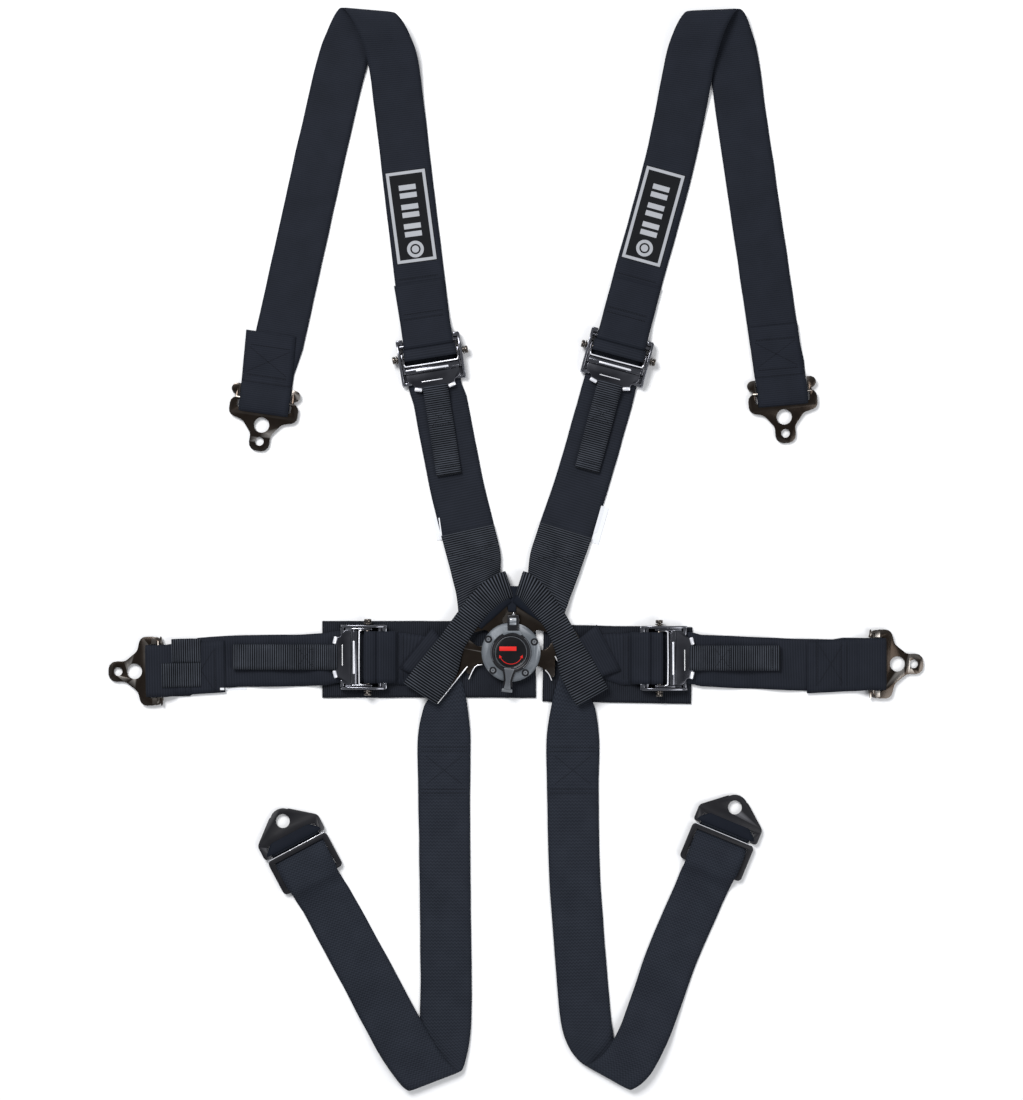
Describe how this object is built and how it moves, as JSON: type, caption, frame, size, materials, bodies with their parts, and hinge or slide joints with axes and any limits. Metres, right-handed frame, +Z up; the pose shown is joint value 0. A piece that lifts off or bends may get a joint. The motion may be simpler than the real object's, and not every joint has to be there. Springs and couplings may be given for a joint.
{
  "type": "racing harness",
  "caption": "Racing harness laid flat: folded shoulder belts, padded lap belts and leg straps meeting at a rotary release buckle, with tilt-lock adjusters and bolt-in anchors.",
  "frame": {"origin": "middle of the bounding box seen from above, on the floor it lies on", "axes": "+Z up off the floor, +Y towards the shoulder belts' folds, +X towards the wearer's left lap belt"},
  "size_m": [0.8158, 1.0819, 0.0173],
  "materials": {
    "webbing": "ribbed and plain woven polyester webbing, blue-black, matt",
    "black_nickel": "black nickel plate with a bronze tint, glossy",
    "black_chrome": "black chrome, mirror bright",
    "satin_black_paint": "satin black paint",
    "grey_cast": "fine grey textured casting",
    "gloss_black": null,
    "bright_steel": "bright steel",
    "silver_print": "woven label with silver frame on black"
  },
  "bodies": {
    "harness": {"shoulder_belt_left": "webbing", "shoulder_belt_right": "webbing", "shoulder_strap_left": "webbing", "shoulder_strap_right": "webbing", "lap_belt_left": "webbing", "lap_belt_right": "webbing", "lap_sewn_belt_left": "webbing", "lap_sewn_belt_right": "webbing", "leg_strap_left": "webbing", "leg_strap_right": "webbing", "leg_loop_left": "webbing", "leg_loop_right": "webbing", "lap_pad_left": "webbing", "lap_pad_right": "webbing", "shoulder_tongue_left": "black_nickel", "shoulder_tongue_right": "black_nickel", "lap_tongue_left": "black_nickel", "lap_tongue_right": "black_nickel", "shoulder_left_adjuster_frame": "black_chrome", "shoulder_left_adjuster_bar": "black_chrome", "shoulder_right_adjuster_frame": "black_chrome", "shoulder_right_adjuster_bar": "black_chrome", "lap_left_adjuster_frame": "black_chrome", "lap_left_adjuster_bar": "black_chrome", "lap_right_adjuster_frame": "black_chrome", "lap_right_adjuster_bar": "black_chrome", "leg_slide_left": "satin_black_paint", "leg_slide_right": "satin_black_paint", "buckle_base": "grey_cast", "buckle_cover": "grey_cast", "cover_screw_1": "grey_cast", "cover_screw_2": "grey_cast", "cover_screw_3": "grey_cast", "cover_screw_4": "grey_cast", "return_spring": "bright_steel", "dial_clip": "bright_steel", "shoulder_label_left": "silver_print", "shoulder_label_right": "silver_print"},
    "dial": {"release_dial": "gloss_black", "release_lever": "grey_cast", "release_cam": "bright_steel"},
    "pins": {"latch_pin_1": "bright_steel", "latch_pin_2": "bright_steel", "latch_pin_3": "bright_steel", "latch_pin_4": "bright_steel"},
    "shoulder_left_tilt": {"shoulder_left_adjuster_lever": "black_chrome", "shoulder_left_pull_tab": "webbing"},
    "shoulder_right_tilt": {"shoulder_right_adjuster_lever": "black_chrome", "shoulder_right_pull_tab": "webbing"},
    "lap_left_tilt": {"lap_left_adjuster_lever": "black_chrome", "lap_left_pull_tab": "webbing"},
    "lap_right_tilt": {"lap_right_adjuster_lever": "black_chrome", "lap_right_pull_tab": "webbing"},
    "shoulder_anchor_left_swing": {"shoulder_anchor_left": "black_nickel"},
    "shoulder_anchor_right_swing": {"shoulder_anchor_right": "black_nickel"},
    "lap_anchor_left_swing": {"lap_anchor_left": "black_nickel"},
    "lap_anchor_right_swing": {"lap_anchor_right": "black_nickel"},
    "leg_anchor_left_swing": {"leg_anchor_left": "satin_black_paint"},
    "leg_anchor_right_swing": {"leg_anchor_right": "satin_black_paint"}
  },
  "joints": [
    {"name": "dial_turn", "type": "hinge", "parent": "harness", "child": "dial", "pos_m": [-0.005, -0.1025, 0.015], "axis": [0, 0, 1], "range_deg": [0, 60], "stiffness_Nm_per_rad": 0.02},
    {"name": "pins_lift", "type": "slide", "parent": "harness", "child": "pins", "axis": [0, 0, 1], "range_m": [0, 0.0029]},
    {"name": "shoulder_left_lever_tilt", "type": "hinge", "parent": "harness", "child": "shoulder_left_tilt", "pos_m": [-0.08578, 0.19444, 0.007], "axis": [-0.9877, -0.1564, 0], "range_deg": [0, 35]},
    {"name": "shoulder_right_lever_tilt", "type": "hinge", "parent": "harness", "child": "shoulder_right_tilt", "pos_m": [0.10229, 0.19633, 0.007], "axis": [-0.9659, 0.2588, 0], "range_deg": [0, 35]},
    {"name": "lap_left_lever_tilt", "type": "hinge", "parent": "harness", "child": "lap_left_tilt", "pos_m": [-0.148, -0.1075, 0.00935], "axis": [0, 1, 0], "range_deg": [0, 35]},
    {"name": "lap_right_lever_tilt", "type": "hinge", "parent": "harness", "child": "lap_right_tilt", "pos_m": [0.143, -0.1085, 0.00935], "axis": [0, -1, 0], "range_deg": [0, 35]},
    {"name": "shoulder_anchor_left_hinge", "type": "hinge", "parent": "harness", "child": "shoulder_anchor_left_swing", "pos_m": [-0.2511, 0.1488, 0.0041], "axis": [-0.99, 0.1409, 0], "range_deg": [0, 60]},
    {"name": "shoulder_anchor_right_hinge", "type": "hinge", "parent": "harness", "child": "shoulder_anchor_right_swing", "pos_m": [0.2662, 0.1571, 0.0041], "axis": [-0.9962, -0.0872, 0], "range_deg": [0, 60]},
    {"name": "lap_anchor_left_hinge", "type": "hinge", "parent": "harness", "child": "lap_anchor_left_swing", "pos_m": [-0.3572, -0.1215, 0.0041], "axis": [-0.0175, 0.9998, 0], "range_deg": [0, 60]},
    {"name": "lap_anchor_right_hinge", "type": "hinge", "parent": "harness", "child": "lap_anchor_right_swing", "pos_m": [0.3571, -0.1145, 0.0041], "axis": [0, -1, 0], "range_deg": [0, 60]},
    {"name": "leg_anchor_left_hinge", "type": "hinge", "parent": "harness", "child": "leg_anchor_left_swing", "pos_m": [-0.22277, -0.29158, 0.0041], "axis": [0.8829, 0.4695, 0], "range_deg": [0, 60]},
    {"name": "leg_anchor_right_hinge", "type": "hinge", "parent": "harness", "child": "leg_anchor_right_swing", "pos_m": [0.21052, -0.27892, 0.0041], "axis": [0.9245, -0.3811, 0], "range_deg": [0, 60]}
  ],
  "couplings": [
    {"joint": "pins_lift", "follows": "dial_turn", "m_per_rad": 0.002769}
  ]
}
